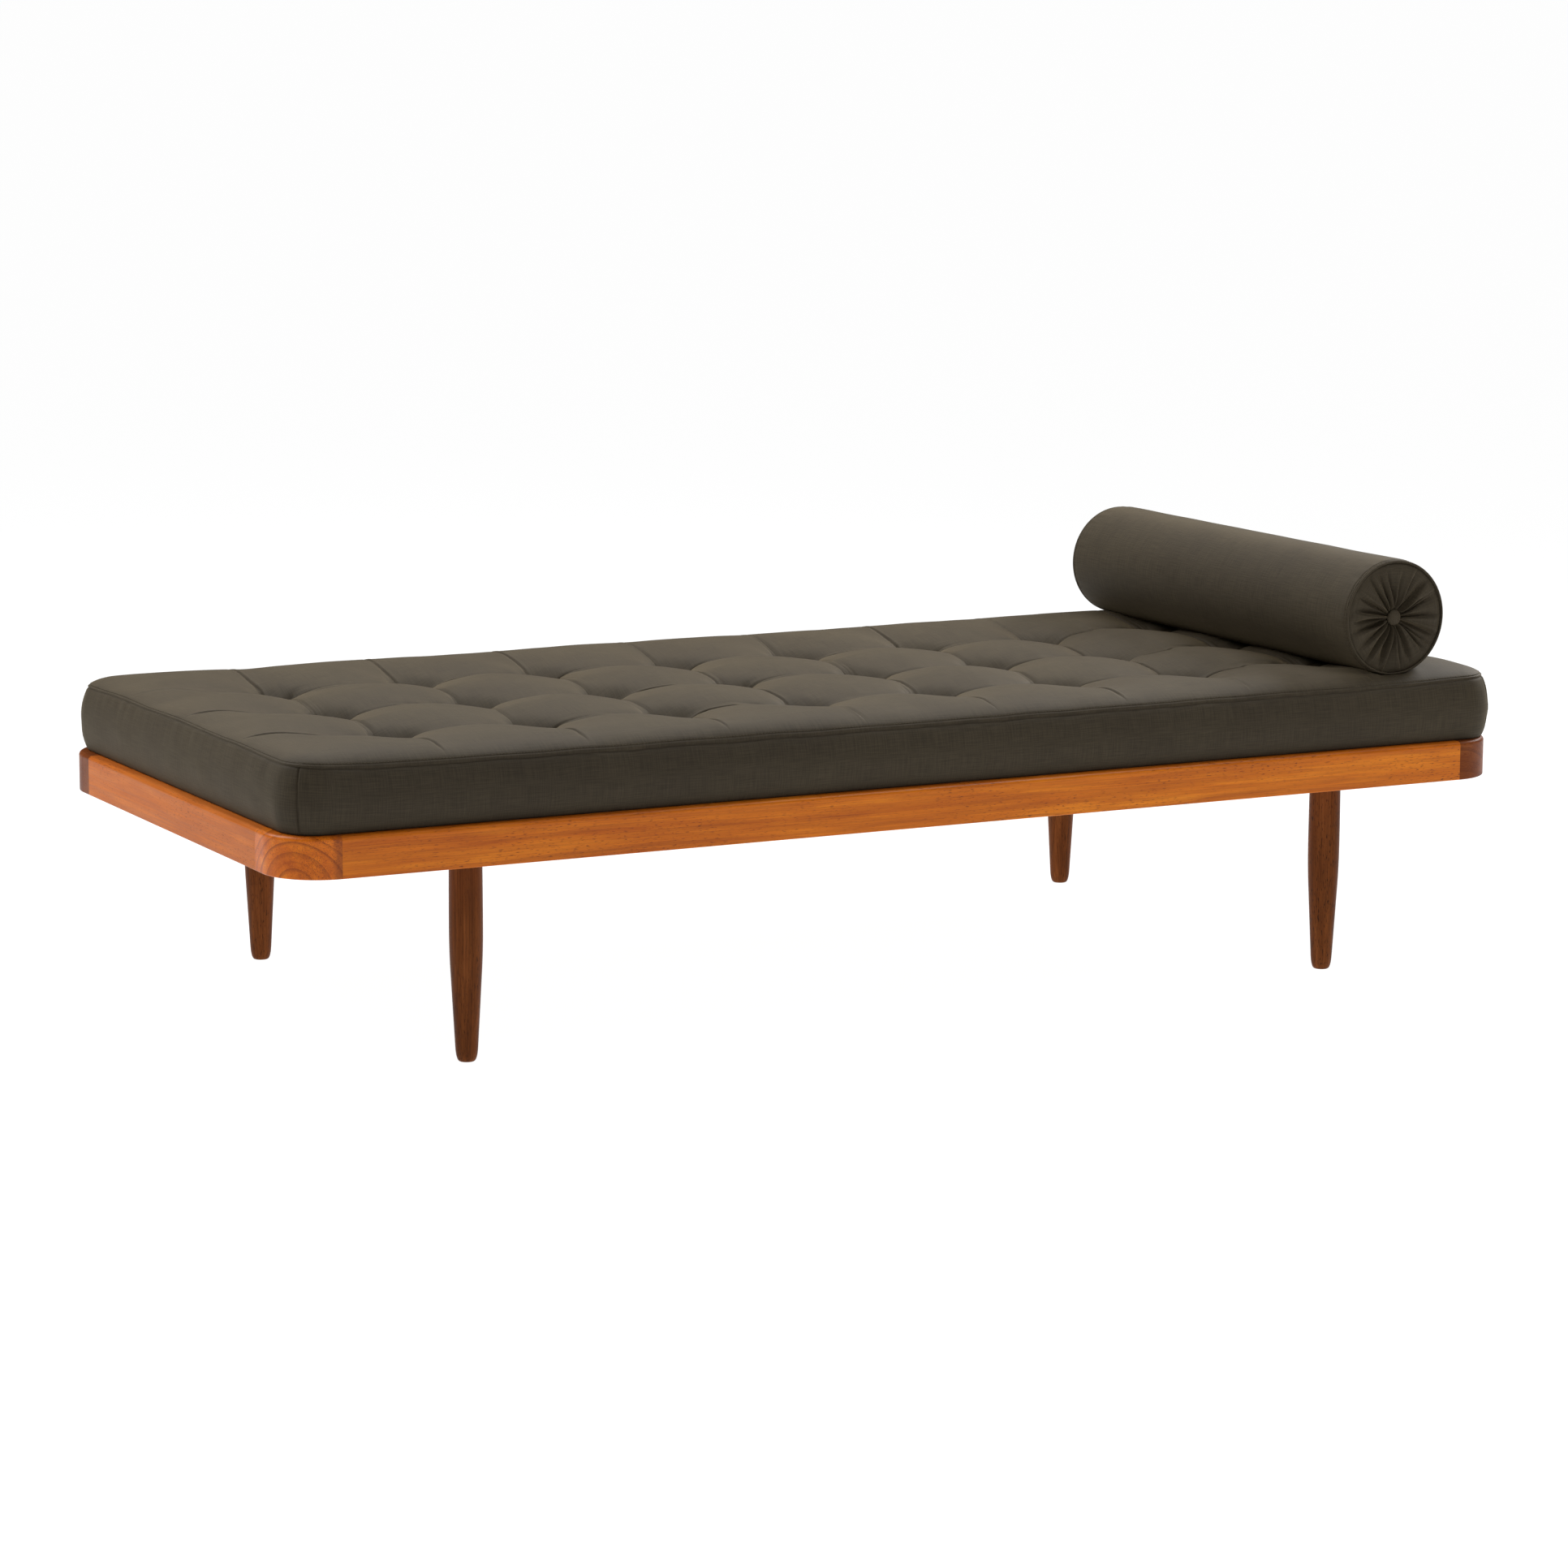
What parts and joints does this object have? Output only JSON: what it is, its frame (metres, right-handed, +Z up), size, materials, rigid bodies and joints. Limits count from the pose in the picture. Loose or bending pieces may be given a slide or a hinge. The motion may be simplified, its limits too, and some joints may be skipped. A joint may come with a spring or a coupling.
{
  "type": "daybed",
  "caption": "Low wooden daybed with rounded corner blocks, turned tapered legs, a slatted deck, a loose square-tufted mattress and a loose round bolster.",
  "frame": {"origin": "on the floor, at the bottom centre of the whole daybed's box, under the middle of the frame", "axes": "+X along the daybed towards the end with the bolster, -Y the front long side, +Z up"},
  "size_m": [1.9, 0.85, 0.5914],
  "materials": {
    "teak_rails": "satin",
    "teak_end_rails": "satin",
    "teak_blocks": "satin",
    "teak_legs": "satin",
    "beech": "matte",
    "zinc_steel": "satin",
    "upholstery": "matte",
    "foam": "matte",
    "twine": "matte"
  },
  "bodies": {
    "frame": {"front_rail": "teak_rails", "back_rail": "teak_rails", "left_end_rail": "teak_end_rails", "right_end_rail": "teak_end_rails", "corner_block_front_left": "teak_blocks", "corner_block_front_right": "teak_blocks", "corner_block_back_right": "teak_blocks", "corner_block_back_left": "teak_blocks", "leg_front_left": "teak_legs", "leg_front_right": "teak_legs", "leg_back_right": "teak_legs", "leg_back_left": "teak_legs", "corner_dowels": "beech", "front_ledge": "beech", "back_ledge": "beech", "slat_01": "beech", "slat_02": "beech", "slat_03": "beech", "slat_04": "beech", "slat_05": "beech", "slat_06": "beech", "slat_07": "beech", "slat_08": "beech", "slat_09": "beech", "slat_10": "beech", "slat_11": "beech", "slat_12": "beech", "slat_13": "beech", "leg_bearer_left": "beech", "leg_bearer_right": "beech", "middle_bearer": "beech", "leg_plate_front_left": "zinc_steel", "leg_plate_front_right": "zinc_steel", "leg_plate_back_right": "zinc_steel", "leg_plate_back_left": "zinc_steel", "leg_bolt_front_left": "zinc_steel", "leg_bolt_front_right": "zinc_steel", "leg_bolt_back_right": "zinc_steel", "leg_bolt_back_left": "zinc_steel", "slat_screws": "zinc_steel", "ledge_screws": "zinc_steel", "bearer_screws": "zinc_steel", "plate_screws": "zinc_steel"},
    "mattress": {"mattress_cover": "upholstery", "mattress_core": "foam", "tuft_ties": "twine"},
    "bolster": {"bolster_cover": "upholstery", "bolster_core": "foam", "bolster_button_front": "upholstery", "bolster_button_back": "upholstery"}
  },
  "joints": [
    {"name": "mattress_lift", "type": "slide", "parent": "frame", "child": "mattress", "axis": [0, 0, 1], "range_m": [0, 0.3]},
    {"name": "bolster_lift", "type": "slide", "parent": "mattress", "child": "bolster", "axis": [0, 0, 1], "range_m": [0, 0.3]}
  ]
}
